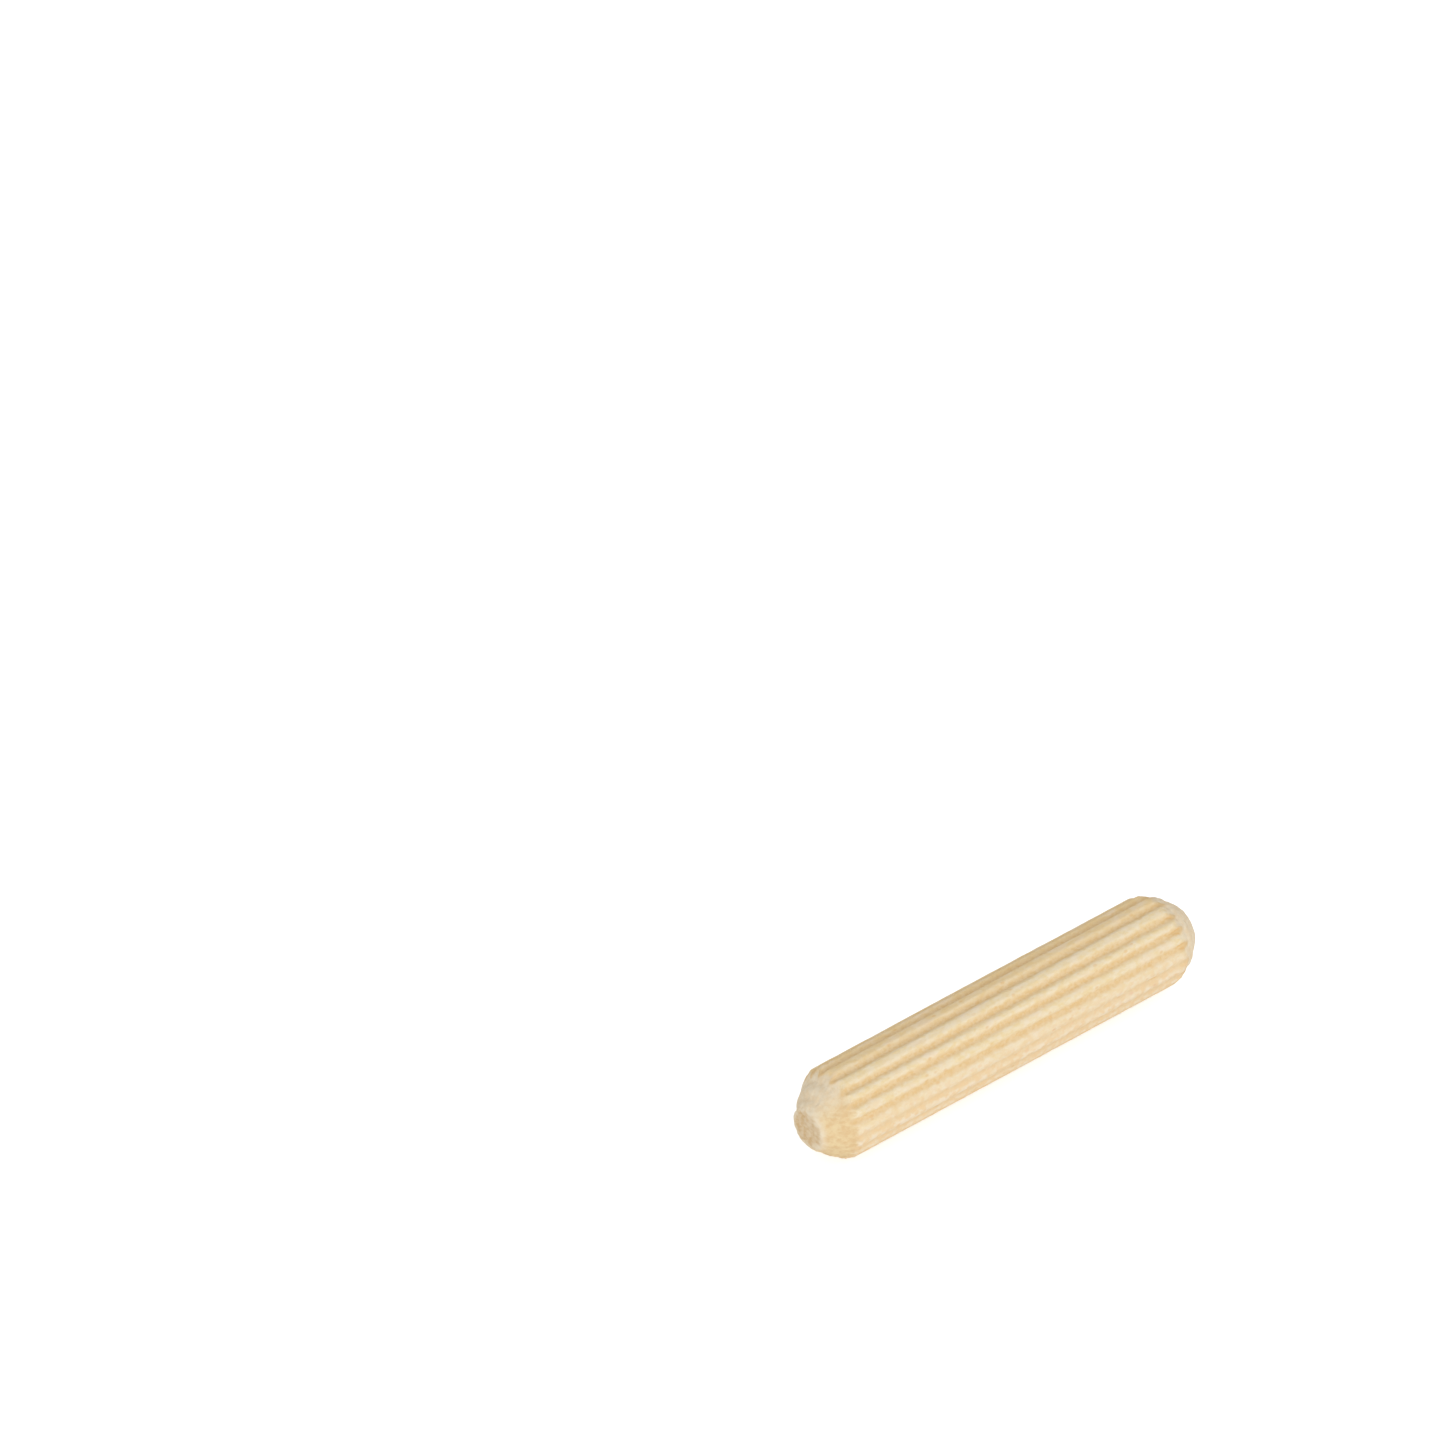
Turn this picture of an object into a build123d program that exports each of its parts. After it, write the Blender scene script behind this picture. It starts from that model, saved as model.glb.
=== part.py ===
from build123d import *
from math import radians, sin, tan
import os

# A fluted wooden dowel pin, in millimetres. It lies along X with the middle of its axis at the
# origin. One flute faces straight down, and the pin rests on the two lips beside it.

# The pin over all
length = 40.0
crest_diameter = 8.0

# Flutes, side by side around the pin and as long as it is, with a rounded land between each two
flute_count = 18
flute_depth = 0.32
flute_flank_angle = 60.0
flute_nose_radius = 0.10
lip_radius = 0.10

# Ends. Each tapers in two cones, the second one steeper, down to a small flat face. The knee
# between the cones stands out by its height from a straight taper.
taper_length = 2.9
knee_height = 0.22
knee_radius = 3.0
end_face_diameter = 4.2
rim_radius = 0.25

# How far a shape that cuts runs past the wood that it cuts
overrun = 1.0

crest_radius = crest_diameter / 2


def fluted_section():
    """The shape across the pin, drawn so that its first flute faces straight down."""
    half_angle = radians(flute_flank_angle / 2)
    apex_radius = crest_radius - flute_depth - flute_nose_radius * (1 / sin(half_angle) - 1)
    wedge_length = crest_radius + overrun - apex_radius
    wedge_half_width = wedge_length * tan(half_angle)
    across = Plane(
        origin=(-length / 2 - overrun, 0, 0),
        x_dir=(0, 0, -1),
        z_dir=(1, 0, 0),
    )
    with BuildSketch(across) as section:
        Circle(crest_radius)
        with PolarLocations(apex_radius, flute_count):
            Polygon(
                (0, 0),
                (wedge_length, -wedge_half_width),
                (wedge_length, wedge_half_width),
                mode=Mode.SUBTRACT,
            )
        innermost_first = section.vertices().sort_by_distance((0, 0, 0))
        fillet(innermost_first[:flute_count], flute_nose_radius)
        innermost_first = section.vertices().sort_by_distance((0, 0, 0))
        fillet(innermost_first[-2 * flute_count :], lip_radius)
    return section.sketch


def end_profile():
    """Half of the pin's long section, with its taper carried out past the crests."""
    end = length / 2
    rim = Vector(end, end_face_diameter / 2)
    shoulder = Vector(end - taper_length, crest_radius)
    straight_taper = shoulder - rim
    outward = Vector(straight_taper.Y, -straight_taper.X).normalized()
    knee = rim + straight_taper / 2 + outward * knee_height
    past_crest = shoulder + (shoulder - knee).normalized() * overrun
    with BuildSketch(Plane.XZ) as profile:
        Polygon((0, 0), (end, 0), rim, knee, past_crest, (0, past_crest.Y))
        fillet(profile.vertices().sort_by_distance(knee)[0], knee_radius)
        fillet(profile.vertices().sort_by_distance(rim)[0], rim_radius)
    return profile.sketch


def dowel_pin():
    """A fluted bar, trimmed at both ends by one turned shape."""
    bar = extrude(fluted_section(), amount=length + 2 * overrun)
    half_turned = revolve(end_profile(), Axis.X)
    turned = half_turned + mirror(half_turned, about=Plane.YZ)
    return bar & turned


os.makedirs("parts", exist_ok=True)
export_step(dowel_pin(), "parts/dowel_pin.step")
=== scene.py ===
import itertools
import math

import bpy
import numpy as np
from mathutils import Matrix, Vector


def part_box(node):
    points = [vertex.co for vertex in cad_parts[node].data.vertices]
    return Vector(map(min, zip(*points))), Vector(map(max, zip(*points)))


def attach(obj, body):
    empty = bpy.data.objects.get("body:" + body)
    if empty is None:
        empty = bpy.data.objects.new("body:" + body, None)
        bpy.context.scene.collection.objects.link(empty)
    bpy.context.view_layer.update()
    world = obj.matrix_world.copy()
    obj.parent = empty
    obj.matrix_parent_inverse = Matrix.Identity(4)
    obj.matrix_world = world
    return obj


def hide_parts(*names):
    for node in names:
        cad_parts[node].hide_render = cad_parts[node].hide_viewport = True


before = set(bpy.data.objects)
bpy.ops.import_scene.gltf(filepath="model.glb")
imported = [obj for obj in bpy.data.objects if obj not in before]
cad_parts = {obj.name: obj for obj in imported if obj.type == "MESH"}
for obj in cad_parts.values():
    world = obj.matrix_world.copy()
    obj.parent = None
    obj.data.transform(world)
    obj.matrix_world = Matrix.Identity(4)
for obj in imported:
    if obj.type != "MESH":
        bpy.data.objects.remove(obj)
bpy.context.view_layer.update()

# A fluted wooden dowel pin that lies on a white floor. Sizes are in millimetres and angles in
# degrees until the mesh is made. An angle round the pin starts from straight up and turns to
# the front, which is -Y.
MM = 0.001
LOW, HIGH = (np.array(corner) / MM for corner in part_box("dowel_pin"))
HALF_LENGTH = (HIGH[0] - LOW[0]) / 2
CREST_RADIUS = (HIGH[1] - LOW[1]) / 2
FLOOR_HEIGHT = LOW[2]

# Flutes: rounded, with their depth, their width at the mouth and that of their flat floor
FLUTE_COUNT = 18
FLUTE_DEPTH = 0.29
FLUTE_MOUTH = 1.24
FLUTE_FLOOR = 0.02

# How far each flute strays round the pin from its even place, the top one first
FLUTE_STRAYS = (4.0, 6.8, 5.9, 6.5, 9.5, 8, 5, 2, 0, 0, 0, 0, 0, 0, 0, 0, 0, -0.6)

# Sides that differ: the angle of each round the pin, and the cosines of the turn from it between
# which the difference fades in. The shank is worn on one side, where its flutes are also paler as
# painted light, and on another, which faces up and back, it is tanner as painted shade. The -X
# taper has deeper steps on one side and yellower wood on another. The end faces are streaked.
WORN_AND_LIT_SIDE = (125.0, 0.4, 0.95)
PAINTED_SHADE_SIDE = (-45.0, 0.45, 0.95)
DEEP_STEPS_SIDE = (-48.0, 0.0, 1.0)
YELLOW_SIDE = (110.0, -0.2, 0.7)
STREAKED_SIDE = (235.0, -2.5, -0.1)

# The flutes on the worn side are shallower, by this share at most
WORN_SHARE = 0.44

# How much less the shank's radius is at its -X end, and how far the lands are worn all over
THINNER_BY = 0.05
LAND_WEAR = 0.0302

# The taper of the -X end was turned this far off the axis, toward this side. Where it meets the
# shank it is off by a share of that, and its rim is off by a share less.
TAPER_OFF_AXIS = 0.31
OFF_AXIS_TOWARD = 131.0
SHARE_AT_SHANK = 0.5
LESS_AT_RIM = 0.25

# Shallow steps that the turning left on the tapers, the first one this far from the rim. They
# have a share of their height all round, and the deep side adds up to a whole height.
STEP_LENGTH = 1.3
STEP_START = 1.10
STEP_HEIGHT = 0.11
SHALLOW_SHARE = 0.7

# Splits and torn nicks: where each starts along X, its angle round the pin, how far it runs
# toward the middle, its width, and how far it drifts round on the way
TEARS = (
    (17.50, 26.4, 0.9, 0.18, -1.5),
    (17.55, 44.0, 1.7, 0.15, 2.0),
    (17.30, 49.3, 0.7, 0.18, -3.5),
    (17.50, 63.0, 1.4, 0.15, 1.2),
    (17.30, 69.0, 0.7, 0.22, -1.7),
    (13.97, 87.5, 1.3, 0.12, 0.0),
)
TEAR_DEPTH = 0.05
TEAR_EASE = 0.12

# A tear narrows from this much of its width to its tip. Its sides fade out between these shares
# of its half width, and its tip between these shares of its length.
TEAR_MOUTH = 1.2
TEAR_SIDE_FADE = (1.8, 0.2)
TEAR_TIP_FADE = (1.0, 0.5)

# Ends: two cones, a blunt rim and a small flat face. The -X end is turned straighter, down to
# a smaller face. Corners are eased off by these lengths, and the cones run on past the crests.
TAPER_LENGTH = 2.9
KNEE_HEIGHT, NEAR_KNEE_HEIGHT = 0.22, 0.12
RIM_RADIUS, NEAR_RIM_RADIUS = 2.1, 1.8
RIM_SET_BACK = 0.04
RIM_WIDTH = 0.45
END_WEAR = 0.05
OUTLINE_EASE = 0.18
TAPER_EASE = 0.18
PAST_CREST = 0.42

# Where forms and colours of the ends fade in: by the way along the outline from the rim of the
# face, and by how deep the turned shape lies below the shank
OFF_AXIS_RIM_FADE = (0.9, -0.1)
STEPS_RIM_FADE = (-0.2, 0.4)
ROUGH_FACE_FADE = (0.3, -0.3)
FACE_COLOUR_FADE = (0.1, -0.4)
STEPS_DEPTH_FADE = (0, 0.3)
CUT_WOOD_FADE = (-0.02, 0.10)

# Where the ends are coloured: how far the painted shade at the tips of the flutes and the yellow
# of the -X taper take to fade, and the middle and the blur of the pale line round each face, from
# its rim
TIP_SHADE_REACH = 0.40
YELLOW_REACH = 0.7
RIM_LINE_MIDDLE = -0.15
RIM_LINE_BLUR = 0.26

# The unevenness of the wood, in layers of noise: the height of each, the size of its blobs
# along each axis, and its seed
FLUTE_EDGE_WANDER = ((0.03, (2.2, 0.5, 0.5), 1), (0.02, (0.5, 0.25, 0.25), 2))
FLUTE_DEPTH_WANDER = ((0.10, (6, 1.5, 1.5), 3),)
FIBRES = ((0.0112, (0.9, 0.22, 0.22), 4), (0.00784, (0.4, 0.14, 0.14), 5))
SWELLS = ((0.012, (5, 2.5, 2.5), 6),)
RAGGED_EDGE = ((0.06, (0.9, 0.3, 0.3), 7), (0.03, (0.25, 0.2, 0.2), 8))
END_ROUGHNESS = (
    (0.028, (0.9, 0.9, 0.9), 9),
    (0.012, (0.4, 0.4, 0.4), 10),
    (0.008, (0.17, 0.17, 0.17), 11),
)
STEP_WANDER = ((0.22, (2.5, 2.0, 2.0), 12),)
STEP_UNEVENNESS = ((0.3, (4, 2, 2), 13),)
FACE_ROUGHNESS = ((0.025, (0.6, 0.5, 0.5), 14),)

# The steps of an end's outline while its corners are rounded, and the grid of the mesh
OUTLINE_STEPS = 600
COLUMNS_PER_FLUTE = 19
SHANK_ROWS = 172
END_ROWS = 55
SHANK_END_CROWDING = 0.25

# The camera, and where the middle of the pin is in a picture this many pixels wide
PHOTO_SIDE = 1445
PIN_PIXEL = (995.0, 1025.8)
PIXELS_PER_MM = 12.37
AZIMUTH, ELEVATION = -39.7, 37.75
SENSOR_WIDTH = 36.0
LENS = 240.0


def direction(azimuth, elevation):
    """The unit vector from the pin to what stands at this azimuth and elevation."""
    turn, rise = math.radians(azimuth), math.radians(elevation)
    level = math.cos(rise)
    return Vector((math.sin(turn) * level, -math.cos(turn) * level, math.sin(rise)))


def soft_min(a, b, ease):
    """The lesser of a and b, with the corner between them eased off inward."""
    near = np.maximum(ease - np.abs(a - b), 0) / ease
    return np.minimum(a, b) - near * near * ease / 4


def soft_step(low, high, value):
    """0 below low, 1 above high, and smooth between them."""
    share = np.clip((value - low) / (high - low), 0, 1)
    return share * share * (3 - 2 * share)


def on_side(angle, side):
    """1 on this side of the pin, 0 away from it, and smooth between them."""
    middle, low, high = side
    return soft_step(low, high, np.cos(angle - math.radians(middle)))


def noise(points, size, seed):
    """Smooth noise from -1 to 1, with blobs of this size along each axis. Each corner of the
    grid of blobs gets its value from its place, scrambled by large odd numbers."""
    points = points / np.array(size)
    cell = np.floor(points).astype(np.int64)
    part = points - cell
    blend = part * part * (3 - 2 * part)
    total = np.zeros(points.shape[:-1])
    for corner in itertools.product((0, 1), repeat=3):
        key = (cell + corner) @ np.array((73856093, 19349663, 83492791)) + seed * 7919
        key = (key ^ (key >> 13)) * 1274126177
        key = (key ^ (key >> 16)) & 0xFFFFFF
        weight = np.prod(np.where(corner, blend, 1 - blend), axis=-1)
        total += weight * (key / 0x7FFFFF - 1)
    return total


def unevenness(points, layers):
    """The sum of some layers of noise."""
    return sum(height * noise(points, size, seed) for height, size, seed in layers)


def end_outline(rim_radius, knee_height):
    """Rows of one end, from the middle of its face out past the crests: x toward the end, radius,
    the two parts of the outward normal, and the way from the rim of the face."""
    rim = np.array((HALF_LENGTH - RIM_SET_BACK, rim_radius))
    shoulder = np.array((HALF_LENGTH - TAPER_LENGTH, CREST_RADIUS))
    run = shoulder - rim
    outward = np.array((run[1], -run[0])) / np.hypot(*run)
    knee = rim + run / 2 + outward * knee_height
    slope = (shoulder - knee) / (shoulder - knee)[1]
    face_edge = (HALF_LENGTH, rim_radius - RIM_WIDTH)
    corners = np.array(((HALF_LENGTH, 0), face_edge, rim, knee, shoulder + slope * PAST_CREST))
    reach = np.concatenate(((0,), np.cumsum(np.hypot(*np.diff(corners, axis=0).T))))
    fine = np.linspace(0, reach[-1], OUTLINE_STEPS)
    lines = [np.interp(fine, reach, side) for side in corners.T]

    # Its corners are rounded by a moving average
    width = round(OUTLINE_EASE / fine[1])
    bell = np.hanning(2 * width + 3)[1:-1]
    bell /= bell.sum()
    padded = [np.pad(line, width, mode="reflect", reflect_type="odd") for line in lines]
    rounded = [np.convolve(line, bell, "valid") for line in padded]

    rows = np.linspace(0, reach[-1], END_ROWS)
    x, radius = (np.interp(rows, fine, line) for line in rounded)
    along = np.gradient(np.stack((x, radius), axis=1), axis=0)
    along /= np.hypot(*along.T)[:, None]
    return x, radius, along[:, 1], -along[:, 0], rows - reach[2]


def rows_of_the_pin():
    """Rows from the -X end to the +X end."""
    x, radius, normal_x, normal_r, from_rim = end_outline(RIM_RADIUS, KNEE_HEIGHT)
    near = end_outline(NEAR_RIM_RADIUS, NEAR_KNEE_HEIGHT)
    near_x, near_radius, near_normal_x, near_normal_r, near_from_rim = near
    even = np.linspace(-1, 1, SHANK_ROWS + 2)[1:-1]
    crowded = even * (1 + SHANK_END_CROWDING * (1 - even * even))
    shank_x = np.where(even < 0, near_x[-1], x[-1]) * crowded
    flat = np.ones(SHANK_ROWS)
    return (
        np.concatenate((-near_x, shank_x, x[::-1])),
        np.concatenate((near_radius, radius[-1] * flat, radius[::-1])),
        np.concatenate((-near_normal_x, 0 * flat, normal_x[::-1])),
        np.concatenate((near_normal_r, flat, normal_r[::-1])),
        np.concatenate((near_from_rim, from_rim[-1] * flat, from_rim[::-1])),
    )


def columns_of_the_pin():
    """The angle of each column, from straight up round by the front, and how far it stands
    from the middle of the nearest flute."""
    flutes = np.arange(FLUTE_COUNT + 1)
    middles = 360 / FLUTE_COUNT * flutes + np.array(FLUTE_STRAYS + FLUTE_STRAYS[:1])
    column = np.arange(FLUTE_COUNT * COLUMNS_PER_FLUTE) / COLUMNS_PER_FLUTE
    angle = np.interp(column, flutes, middles)
    nearest = middles[np.round(column).astype(int)]
    return angle, np.radians(angle - nearest) * CREST_RADIUS


def torn_wood(x, angle):
    """1 in the splits and nicks, 0 elsewhere."""
    torn = np.zeros(np.broadcast(x, angle).shape)
    for start, start_angle, length, width, drift in TEARS:
        gone = (start - x) / length
        off = np.radians(angle - start_angle - drift * gone) * CREST_RADIUS
        half_width = width / 2 * (TEAR_MOUTH - np.clip(gone, 0, 1))
        here = soft_step(-TEAR_EASE / length, 0, gone) * soft_step(*TEAR_TIP_FADE, gone)
        outer, inner = (half_width * share for share in TEAR_SIDE_FADE)
        torn = np.maximum(torn, here * soft_step(outer, inner, np.abs(off)))
    return torn


def shank_form(place, x, degrees, from_flute):
    """The radius of the fluted and worn shank, and how far it is flute, worn and lit side, and
    torn.
    """
    off_middle = np.abs(from_flute + unevenness(place, FLUTE_EDGE_WANDER))
    flute = soft_step(FLUTE_MOUTH / 2, FLUTE_FLOOR / 2, off_middle)
    worn_and_lit_side = on_side(np.radians(degrees), WORN_AND_LIT_SIDE)
    depth = FLUTE_DEPTH * (1 - WORN_SHARE * worn_and_lit_side)
    cut = depth * flute * (1 + unevenness(place, FLUTE_DEPTH_WANDER))
    torn = torn_wood(x, degrees)
    thinner = THINNER_BY * (0.5 - x / (2 * HALF_LENGTH))
    worn = LAND_WEAR + unevenness(place, FIBRES + SWELLS) + thinner + TEAR_DEPTH * torn
    return CREST_RADIUS - cut - worn, flute, worn_and_lit_side, torn


def off_axis_shift(x, radius, angle, from_rim):
    """How far the turned shape of the -X end stands out, because it was turned off the axis."""
    shift = TAPER_OFF_AXIS * np.cos(angle - math.radians(OFF_AXIS_TOWARD))
    toward_face = soft_step(TAPER_LENGTH, 0, x + HALF_LENGTH)
    at_rim = soft_step(*OFF_AXIS_RIM_FADE, from_rim)
    share = (SHARE_AT_SHANK + (1 - SHARE_AT_SHANK) * toward_face) * (1 - LESS_AT_RIM * at_rim)
    return np.where(x < 0, shift * (share * np.minimum(radius / RIM_RADIUS, 1)), 0)


def turning_steps(place, x, angle, from_rim):
    """The steps of the tapers, from 0 on their crests to the full depth in their corners."""
    wave = (from_rim - STEP_START) / STEP_LENGTH + unevenness(place, STEP_WANDER)
    deeper = np.where(x < 0, on_side(angle, DEEP_STEPS_SIDE), 0)
    height = STEP_HEIGHT * (SHALLOW_SHARE + unevenness(place, STEP_UNEVENNESS) + deeper)
    return height * (1 - np.abs(np.sin(math.pi * wave))) * soft_step(*STEPS_RIM_FADE, from_rim)


def closed_mesh(name, points):
    """A mesh through rows of points that close on themselves, shut by a fan at each end."""
    columns = points.shape[1]
    inner = points[1:-1].reshape(-1, 3)
    tips = points[(0, -1), :].mean(axis=1)
    index = np.arange(len(inner)).reshape(-1, columns)
    turned = np.roll(index, -1, axis=1)
    quads = np.stack((index[:-1], index[1:], turned[1:], turned[:-1]), axis=-1).reshape(-1, 4)
    first_tip, last_tip = len(inner), len(inner) + 1
    faces = quads.tolist()
    faces += [(first_tip, a, b) for a, b in zip(index[0].tolist(), turned[0].tolist())]
    faces += [(last_tip, b, a) for a, b in zip(index[-1].tolist(), turned[-1].tolist())]
    mesh = bpy.data.meshes.new(name)
    mesh.from_pydata((np.concatenate((inner, tips)) * MM).tolist(), [], faces)
    mesh.polygons.foreach_set("use_smooth", [True] * len(faces))
    return mesh


def add_field(mesh, name, values):
    """Stores a value at each point of a closed mesh, for its material."""
    at_points = np.concatenate((values[1:-1].reshape(-1), values[(0, -1), :].mean(axis=1)))
    layer = mesh.attributes.new(name, "FLOAT", "POINT")
    layer.data.foreach_set("value", at_points.astype(np.float32))


def make_pin(material):
    """The whole pin as one closed mesh, with its wear."""
    by_row = (values[:, None] for values in rows_of_the_pin())
    row_x, row_radius, normal_x, normal_r, from_rim = by_row
    degrees, from_flute = columns_of_the_pin()
    angle = np.radians(degrees)
    round_y, round_z = -np.sin(angle), np.cos(angle)

    # Where the noise is read: on the plain turned shape
    plain = np.minimum(row_radius, CREST_RADIUS)
    place = np.stack(np.broadcast_arrays(row_x, plain * round_y, plain * round_z), axis=-1)

    # The shank, trimmed by the turned shape along a ragged edge
    shank, flute, worn_and_lit_side, torn = shank_form(place, row_x, degrees, from_flute)
    turned = row_radius + off_axis_shift(row_x, row_radius, angle, from_rim)
    below_shank = shank - turned
    ragged = unevenness(place, RAGGED_EDGE)
    radius = soft_min(turned + ragged * normal_r, shank, TAPER_EASE)

    # The cut across the fibres at each end is rougher, and stepped
    steps = turning_steps(place, row_x, angle, from_rim)
    steps *= soft_step(*STEPS_DEPTH_FADE, below_shank)
    face_roughness = unevenness(place, FACE_ROUGHNESS) * soft_step(*ROUGH_FACE_FADE, from_rim)
    rough = unevenness(place, END_ROUGHNESS) + face_roughness
    push = soft_step(*CUT_WOOD_FADE, below_shank - ragged) * (rough - END_WEAR - steps)
    x = row_x + push * normal_x
    radius = np.maximum(radius + push * normal_r, 0)
    points = np.stack(np.broadcast_arrays(x, radius * round_y, radius * round_z), axis=-1)
    mesh = closed_mesh("fluted_pin", points)
    mesh.materials.append(material)

    yellow = on_side(angle, YELLOW_SIDE) * soft_step(0, YELLOW_REACH, from_rim)
    fields = {
        "flute": flute,
        # painted shade where the flutes run out into the tapers
        "tip": flute * soft_step(TIP_SHADE_REACH, 0, -below_shank),
        "worn_and_lit_side": worn_and_lit_side,
        # painted shade: tan on the side that faces up and back
        "painted_shade_side": on_side(angle, PAINTED_SHADE_SIDE),
        "end_depth": np.clip(below_shank, 0, 1),
        "yellow_end": np.where(row_x < 0, yellow, 0),
        "face": soft_step(*FACE_COLOUR_FADE, from_rim),
        "face_streaks": on_side(angle, STREAKED_SIDE),
        "rim": np.exp(-(((from_rim - RIM_LINE_MIDDLE) / RIM_LINE_BLUR) ** 2)),
        "torn": torn,
    }
    for name, values in fields.items():
        add_field(mesh, name, np.broadcast_to(values, points.shape[:2]))
    pin = bpy.data.objects.new("fluted_pin", mesh)
    bpy.context.scene.collection.objects.link(pin)
    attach(pin, "root")
    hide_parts("dowel_pin")
    return pin


class Nodes:
    """A short way to write a node tree."""

    def __init__(self, tree):
        self.tree = tree
        tree.nodes.clear()

    def add(self, kind, inputs=(), **settings):
        node = self.tree.nodes.new(kind)
        for name, value in settings.items():
            setattr(node, name, value)
        for key, value in dict(inputs).items():
            self.put(node.inputs[key], value)
        return node

    def put(self, socket, value):
        if isinstance(value, bpy.types.NodeSocket):
            self.tree.links.new(value, socket)
        else:
            socket.default_value = value

    def math(self, operation, a, b):
        return self.add("ShaderNodeMath", {0: a, 1: b}, operation=operation).outputs[0]

    def times(self, a, b):
        return self.math("MULTIPLY", a, b)

    def around_zero(self, value, height):
        """A noise from 0 to 1, turned to one about 0 with this height."""
        return self.times(self.math("SUBTRACT", value, 0.5), height)

    def ramp(self, value, low, high, to_low=0.0, to_high=1.0):
        """to_low where the value is at low, to_high where it is at high, smooth between them."""
        ends = {"From Min": low, "From Max": high, "To Min": to_low, "To Max": to_high}
        inputs = {"Value": value, **ends}
        return self.add("ShaderNodeMapRange", inputs, interpolation_type="SMOOTHSTEP").outputs[0]

    def mix(self, share, a, b):
        node = self.add("ShaderNodeMix", data_type="RGBA")
        for socket, value in zip((node.inputs[0], node.inputs[6], node.inputs[7]), (share, a, b)):
            self.put(socket, value)
        return node.outputs[2]

    def stretched(self, place, scale):
        inputs = {"Vector": place, "Scale": scale}
        return self.add("ShaderNodeMapping", inputs, vector_type="POINT").outputs[0]

    def noise(self, place, scale, detail=2.0, roughness=0.5):
        vector = self.stretched(place, scale)
        inputs = {"Vector": vector, "Scale": 1.0, "Detail": detail, "Roughness": roughness}
        return self.add("ShaderNodeTexNoise", inputs).outputs["Fac"]

    def attribute(self, name):
        return self.add("ShaderNodeAttribute", attribute_name=name).outputs["Fac"]

    def seen_by_camera(self):
        """1 for the rays that show a background to the camera, also by mirror or glass."""
        rays = self.add("ShaderNodeLightPath").outputs
        seen = self.math("MAXIMUM", rays["Is Camera Ray"], rays["Is Glossy Ray"])
        return self.math("MAXIMUM", seen, rays["Is Transmission Ray"])


# Colours of the shank: its lands, its flutes, its worn and marked places, and painted shade
LAND = (0.885, 0.765, 0.555, 1)
STRAW = (0.86, 0.68, 0.38, 1)
TAN = (0.84, 0.62, 0.32, 1)
# Flutes: a tan of their own, made darker still as painted shade in the grooves
FLUTE = (0.83, 0.63, 0.37, 1)
FLUTE_DEEP = (0.79, 0.56, 0.28, 1)
PINK = (0.895, 0.75, 0.60, 1)
RED_SPOT = (0.82, 0.53, 0.34, 1)
FLECK = (0.78, 0.49, 0.20, 1)
WORN_TAN = (0.85, 0.62, 0.35, 1)
TIP_SHADE = (0.74, 0.50, 0.24, 1)
TORN = (0.78, 0.52, 0.24, 1)

# Colours of the tapers, the end faces and their rims
END_PALE = (0.85, 0.73, 0.54, 1)
END_TAN = (0.76, 0.54, 0.29, 1)
END_YELLOW = (0.84, 0.665, 0.39, 1)
FACE_PALE = (0.77, 0.62, 0.42, 1)
FACE_TAN = (0.66, 0.46, 0.24, 1)
RIM_PALE = (0.86, 0.75, 0.57, 1)

# How many blobs of each noise go into a millimetre along each axis
FIBRE_SCALE = (0.5, 6.0, 6.0)
MOTTLE_SCALE = (1.5, 2.5, 2.5)
GRAIN_SCALE = (3.0, 3.4, 3.4)
BLOTCH_SCALE = (2.0, 2.5, 2.5)
PATCH_SCALE = (0.5, 0.8, 0.8)
FLECK_SCALE = (1.0, 1.6, 1.6)
SPECKLE_SCALE = (1.6, 1.7, 2.6)
STREAK_SCALE = (1.0, 1.5, 2.4)
PIT_SCALE = (5.0, 5.0, 5.0)

# The finish: how high the fibres and pits stand, and how rough the wood is
BUMP_HEIGHT = 0.04
BUMP_STRENGTH = 0.5
ROUGHNESS = (0.66, 0.80)
SPECULAR = 0.15


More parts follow.
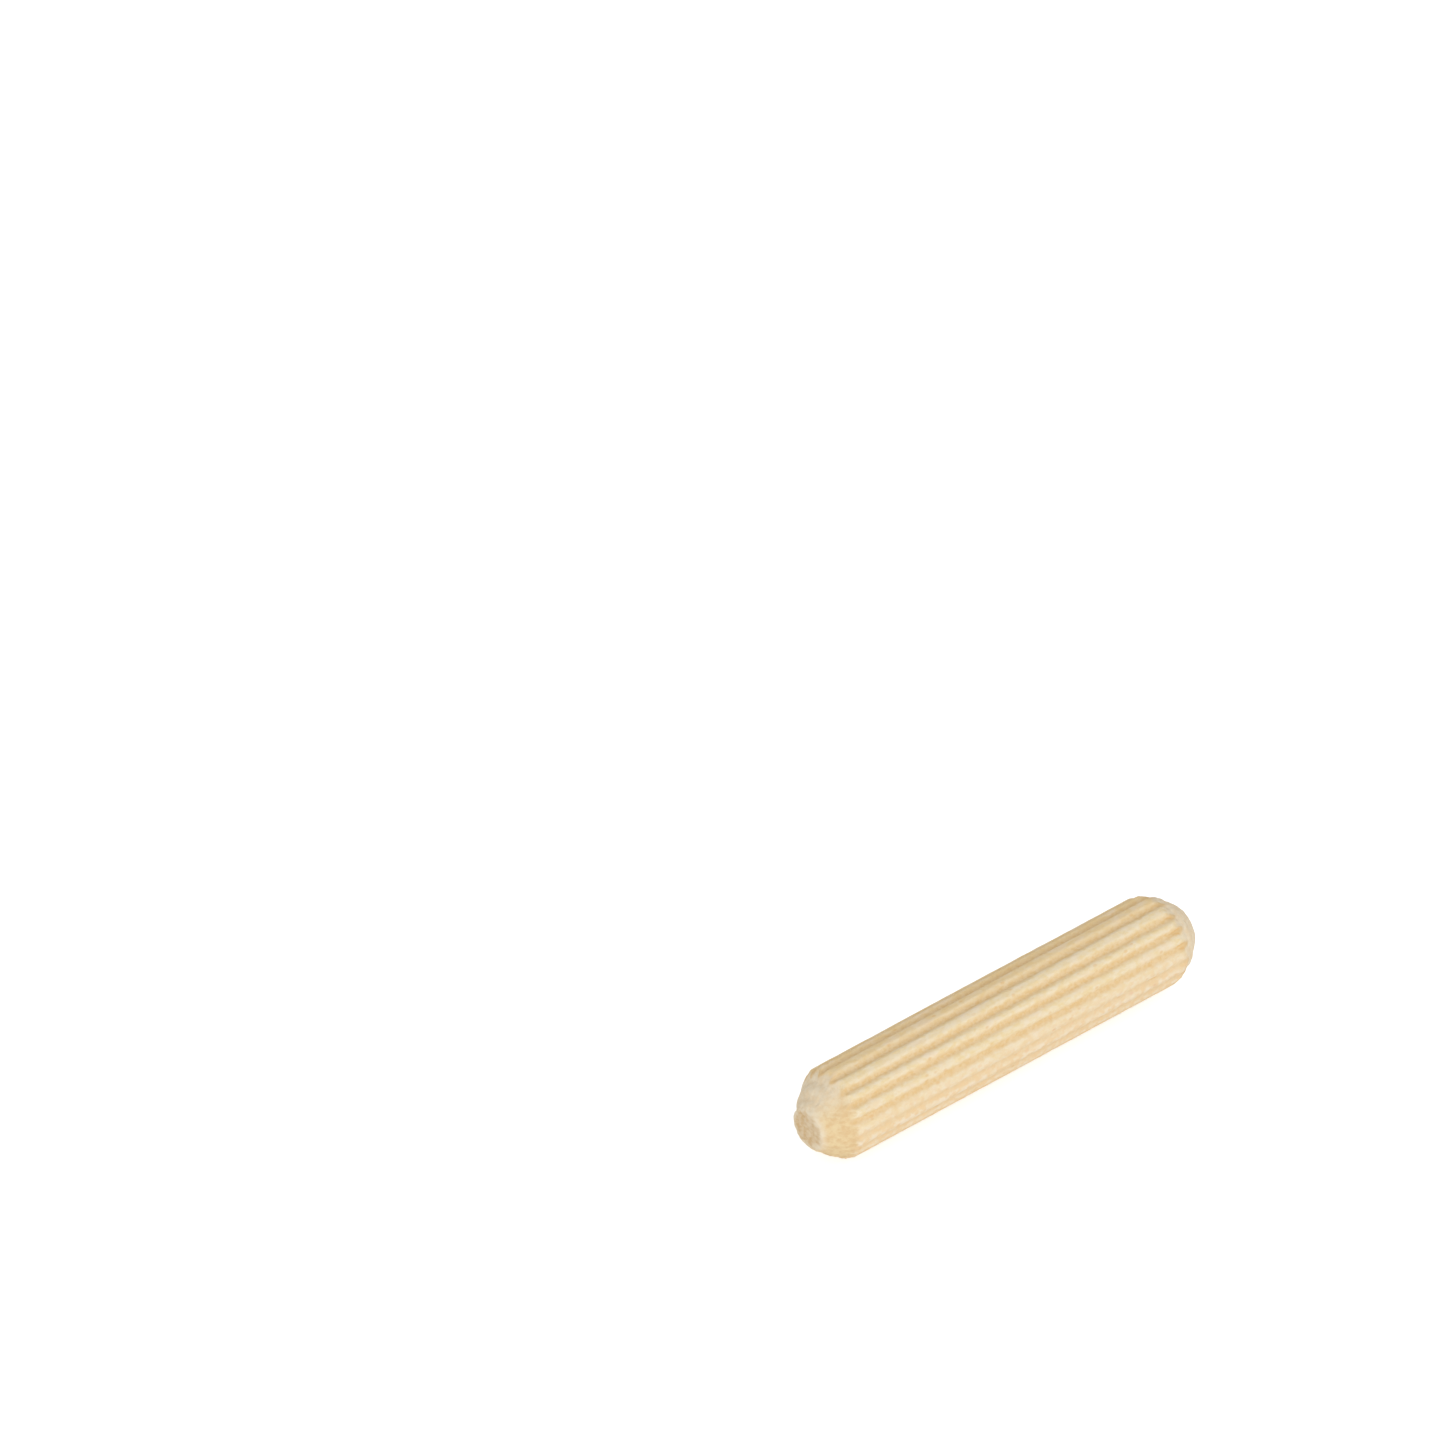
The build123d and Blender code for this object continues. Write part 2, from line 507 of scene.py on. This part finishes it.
def shank_colour(nodes, place, fibres):
    """Lands and flutes, which meet along a blurred and ragged edge, with their marks."""
    flute = nodes.attribute("flute")
    worn_and_lit_side = nodes.attribute("worn_and_lit_side")
    mottle = nodes.noise(place, MOTTLE_SCALE, 3.0, 0.62)
    grains = nodes.noise(place, GRAIN_SCALE)
    blotches = nodes.noise(place, BLOTCH_SCALE)
    patches = nodes.noise(place, PATCH_SCALE)

    colour = nodes.mix(nodes.ramp(mottle, 0.31, 0.72), LAND, STRAW)
    # Painted shade: a share of tan on the side that faces up and back, away from the lamps
    tan = nodes.times(nodes.attribute("painted_shade_side"), nodes.ramp(mottle, 0.3, 0.7, 0.55, 1.0))
    colour = nodes.mix(tan, colour, TAN)
    patchy = nodes.ramp(patches, 0.50, 0.72, 0.0, 0.4)
    pink = nodes.math("MAXIMUM", patchy, nodes.times(worn_and_lit_side, 0.45))
    colour = nodes.mix(pink, colour, PINK)

    edge = nodes.math("ADD", flute, nodes.around_zero(mottle, 0.6))
    # On the worn side, which faces the front lamp and the floor, the flutes' colour fades, as
    # painted light
    in_flute = nodes.times(nodes.ramp(edge, 0.10, 1.0), nodes.ramp(worn_and_lit_side, 0.0, 1.0, 1.0, 0.62))
    # The flutes' own tan, partly painted shade
    flute_tan_and_shade = nodes.mix(nodes.ramp(grains, 0.35, 0.65), FLUTE, FLUTE_DEEP)
    colour = nodes.mix(in_flute, colour, flute_tan_and_shade)
    # Painted shade darkens the flutes where they run out into the tapers
    colour = nodes.mix(nodes.times(nodes.attribute("tip"), 0.5), colour, TIP_SHADE)
    colour = nodes.mix(nodes.ramp(fibres, 0.50, 0.80, 0.0, 0.12), colour, FLUTE)

    # Small flecks, some of them red, and tan blotches, both of these on the worn side
    inputs = {"Vector": nodes.stretched(place, FLECK_SCALE), "Scale": 1.0, "Randomness": 1.0}
    cells = nodes.add("ShaderNodeTexVoronoi", inputs).outputs
    chance = nodes.add("ShaderNodeSeparateColor", {"Color": cells["Color"]}).outputs
    distance = nodes.math("ADD", cells["Distance"], nodes.times(mottle, 0.25))
    spot = nodes.ramp(distance, 0.22, 0.42, 1.0, 0.0)
    fleck = nodes.times(spot, nodes.ramp(chance[0], 0.45, 0.75, 0.0, 0.5))
    red = nodes.times(nodes.times(spot, nodes.ramp(chance[1], 0.35, 0.60, 0.0, 0.5)), worn_and_lit_side)
    colour = nodes.mix(fleck, colour, FLECK)
    colour = nodes.mix(red, colour, RED_SPOT)
    blotched = nodes.times(nodes.ramp(blotches, 0.43, 0.62, 0.0, 0.8), worn_and_lit_side)
    return nodes.mix(blotched, colour, WORN_TAN)


def end_colour(nodes, place, speckle):
    """The tapers, where the fibres are cut across, and the end faces with their pale rims."""
    yellow = nodes.attribute("yellow_end")
    colour = nodes.mix(yellow, END_PALE, END_YELLOW)
    speckled = nodes.times(nodes.ramp(speckle, 0.33, 0.68), nodes.ramp(yellow, 0.0, 1.0, 0.4, 1.0))
    colour = nodes.mix(speckled, colour, END_TAN)
    streaks = nodes.ramp(nodes.noise(place, STREAK_SCALE, 3.0, 0.6), 0.36, 0.62)
    face = nodes.mix(nodes.times(streaks, nodes.attribute("face_streaks")), FACE_PALE, FACE_TAN)
    colour = nodes.mix(nodes.attribute("face"), colour, face)
    rim = nodes.times(nodes.attribute("rim"), nodes.ramp(speckle, 0.62, 0.38, 0.05, 0.7))
    return nodes.mix(rim, colour, RIM_PALE)


def make_wood():
    """Bare pale hardwood with its fibres along X."""
    material = bpy.data.materials.new("bare_wood")
    material.use_nodes = True
    nodes = Nodes(material.node_tree)
    metres = nodes.add("ShaderNodeTexCoord").outputs["Object"]
    place = nodes.stretched(metres, (1 / MM,) * 3)
    fibres = nodes.noise(place, FIBRE_SCALE, 3.0, 0.6)
    speckle = nodes.noise(place, SPECKLE_SCALE, 3.0, 0.6)
    pits = nodes.noise(place, PIT_SCALE, 3.0, 0.6)

    depth = nodes.math("ADD", nodes.attribute("end_depth"), nodes.around_zero(speckle, 0.5))
    in_end = nodes.ramp(depth, 0.03, 0.30)
    shank = shank_colour(nodes, place, fibres)
    end = end_colour(nodes, place, speckle)
    colour = nodes.mix(in_end, shank, end)
    torn = nodes.times(nodes.attribute("torn"), nodes.ramp(speckle, 0.25, 0.45, 0.5, 1.0))
    colour = nodes.mix(torn, colour, TORN)

    height = nodes.mix(in_end, fibres, pits)
    inputs = {"Strength": BUMP_STRENGTH, "Distance": BUMP_HEIGHT * MM, "Height": height}
    bump = nodes.add("ShaderNodeBump", inputs)
    inputs = {
        "Base Color": colour,
        "Roughness": nodes.ramp(fibres, 0.3, 0.7, *ROUGHNESS),
        "Normal": bump.outputs[0],
        "Specular IOR Level": SPECULAR,
    }
    shader = nodes.add("ShaderNodeBsdfPrincipled", inputs)
    nodes.add("ShaderNodeOutputMaterial", {"Surface": shader.outputs[0]})
    return material


# The stage: the floor's side in metres, its colour, and the light that lifts it to white
FLOOR_SIZE = 6.0
FLOOR_COLOUR = (0.88, 0.88, 0.88, 1)
FLOOR_LIFT = 0.54
WORLD_LIGHT = 0.83

# Each lamp's azimuth and elevation, its power in watts and its side in metres
LAMPS = {
    "key": (-28, 18, 1.28, 0.40),
    "fill": (50, 30, 0.30, 0.40),
    "rim": (-108, 25, 0.22, 0.30),
}
LAMP_DISTANCE = 0.6


def make_floor():
    """A wide white floor, lifted to white for the camera but not for the pin."""
    material = bpy.data.materials.new("floor")
    material.use_nodes = True
    nodes = Nodes(material.node_tree)
    lift = nodes.times(nodes.seen_by_camera(), FLOOR_LIFT)
    matt = nodes.add("ShaderNodeBsdfDiffuse", {"Color": FLOOR_COLOUR})
    glow = nodes.add("ShaderNodeEmission", {"Strength": lift})
    both = nodes.add("ShaderNodeAddShader", {0: matt.outputs[0], 1: glow.outputs[0]})
    nodes.add("ShaderNodeOutputMaterial", {"Surface": both.outputs[0]})
    mesh = bpy.data.meshes.new("floor")
    half = FLOOR_SIZE / 2
    corners = ((-half, -half), (half, -half), (half, half), (-half, half))
    mesh.from_pydata([(x, y, FLOOR_HEIGHT * MM) for x, y in corners], [], [(0, 1, 2, 3)])
    mesh.materials.append(material)
    floor = bpy.data.objects.new("floor", mesh)
    bpy.context.scene.collection.objects.link(floor)


def make_world():
    """Even white light from all round, and plain white where the camera sees past the floor."""
    world = bpy.data.worlds.new("studio")
    world.use_nodes = True
    nodes = Nodes(world.node_tree)
    strength = nodes.ramp(nodes.seen_by_camera(), 0.0, 1.0, WORLD_LIGHT, 1.0)
    light = nodes.add("ShaderNodeBackground", {"Strength": strength})
    nodes.add("ShaderNodeOutputWorld", {"Surface": light.outputs[0]})
    bpy.context.scene.world = world


def make_lamp(name, azimuth, elevation, power, size):
    """A square soft lamp that faces the pin."""
    data = bpy.data.lights.new(name, "AREA")
    data.energy = power
    data.size = size
    lamp = bpy.data.objects.new(name, data)
    lamp.location = direction(azimuth, elevation) * LAMP_DISTANCE
    lamp.rotation_mode = "QUATERNION"
    lamp.rotation_quaternion = direction(azimuth, elevation).to_track_quat("Z", "Y")
    bpy.context.scene.collection.objects.link(lamp)


def make_camera():
    """Sees the pin from the photograph's side and height, at its place in the frame."""
    data = bpy.data.cameras.new("camera")
    data.sensor_width = SENSOR_WIDTH
    data.lens = LENS
    back = direction(AZIMUTH, ELEVATION)
    right = Vector((0, 0, 1)).cross(back).normalized()
    up = back.cross(right)
    distance = LENS / SENSOR_WIDTH * PHOTO_SIDE / PIXELS_PER_MM * MM
    beside = (PIN_PIXEL[0] - PHOTO_SIDE / 2) / PIXELS_PER_MM * MM
    below = (PIN_PIXEL[1] - PHOTO_SIDE / 2) / PIXELS_PER_MM * MM
    camera = bpy.data.objects.new("camera", data)
    camera.location = back * distance - right * beside + up * below
    camera.rotation_mode = "QUATERNION"
    camera.rotation_quaternion = back.to_track_quat("Z", "Y")
    bpy.context.scene.collection.objects.link(camera)
    bpy.context.scene.camera = camera


make_camera()
make_world()
for name, settings in LAMPS.items():
    make_lamp(name, *settings)
make_floor()
make_pin(make_wood())
bpy.context.scene.view_settings.view_transform = "Standard"
